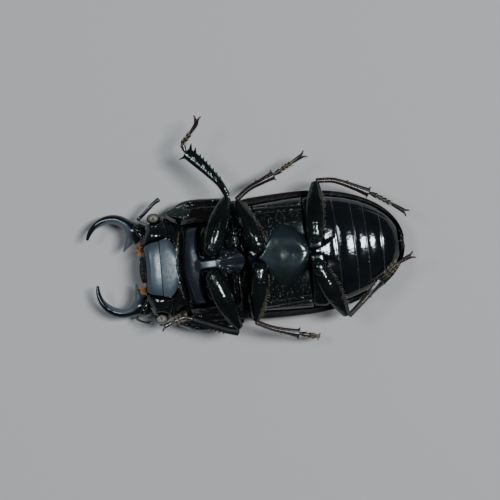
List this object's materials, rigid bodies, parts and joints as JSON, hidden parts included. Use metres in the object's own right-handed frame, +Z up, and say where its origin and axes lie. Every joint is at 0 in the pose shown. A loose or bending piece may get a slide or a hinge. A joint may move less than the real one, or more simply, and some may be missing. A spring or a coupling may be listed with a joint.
{
  "type": "stag beetle",
  "caption": "Male stag beetle lying on its back with toothed jaws open and legs half folded, a still life-size model.",
  "frame": {"origin": "middle of the flat of the pronotum's back, where it rests on the floor", "axes": "+Z up through the underside, -X towards the jaws, +Y to the beetle's own left"},
  "size_m": [0.0325, 0.0237, 0.0079],
  "materials": {
    "gloss_cuticle": "polished black cuticle",
    "satin_cuticle": "satin blue-grey black cuticle",
    "brown_cuticle": "polished dark red-brown cuticle",
    "eye": "smooth grey-brown facets",
    "mouth_brush": "fine orange bristles",
    "lip_leather": "dark red leathery membrane"
  },
  "bodies": {
    "root": {"abdomen": "gloss_cuticle", "antenna_club_left": "brown_cuticle", "antenna_club_right": "brown_cuticle", "antenna_scape_left": "gloss_cuticle", "antenna_scape_right": "gloss_cuticle", "coxa_front_left": "gloss_cuticle", "coxa_front_right": "gloss_cuticle", "coxa_hind_left": "gloss_cuticle", "coxa_hind_right": "gloss_cuticle", "coxa_middle_left": "gloss_cuticle", "coxa_middle_right": "gloss_cuticle", "elytron_left": "gloss_cuticle", "elytron_right": "gloss_cuticle", "eye_left": "eye", "eye_right": "eye", "femur_front_left": "gloss_cuticle", "femur_front_right": "gloss_cuticle", "femur_hind_left": "gloss_cuticle", "femur_hind_right": "gloss_cuticle", "femur_middle_left": "gloss_cuticle", "femur_middle_right": "gloss_cuticle", "gula": "satin_cuticle", "head": "gloss_cuticle", "labrum": "gloss_cuticle", "ligula": "lip_leather", "mandible_left": "gloss_cuticle", "mandible_right": "gloss_cuticle", "mentum": "satin_cuticle", "mesosternum": "gloss_cuticle", "metasternum": "gloss_cuticle", "mouth_brush_left": "mouth_brush", "mouth_brush_right": "mouth_brush", "palp_left": "gloss_cuticle", "palp_right": "gloss_cuticle", "pronotum": "gloss_cuticle", "prosternum": "satin_cuticle", "scutellum": "gloss_cuticle", "tarsus_front_left": "brown_cuticle", "tarsus_front_right": "brown_cuticle", "tarsus_hind_left": "brown_cuticle", "tarsus_hind_right": "brown_cuticle", "tarsus_middle_left": "brown_cuticle", "tarsus_middle_right": "brown_cuticle", "tibia_front_left": "gloss_cuticle", "tibia_front_right": "gloss_cuticle", "tibia_hind_left": "brown_cuticle", "tibia_hind_right": "brown_cuticle", "tibia_middle_left": "brown_cuticle", "tibia_middle_right": "brown_cuticle"}
  },
  "joints": []
}
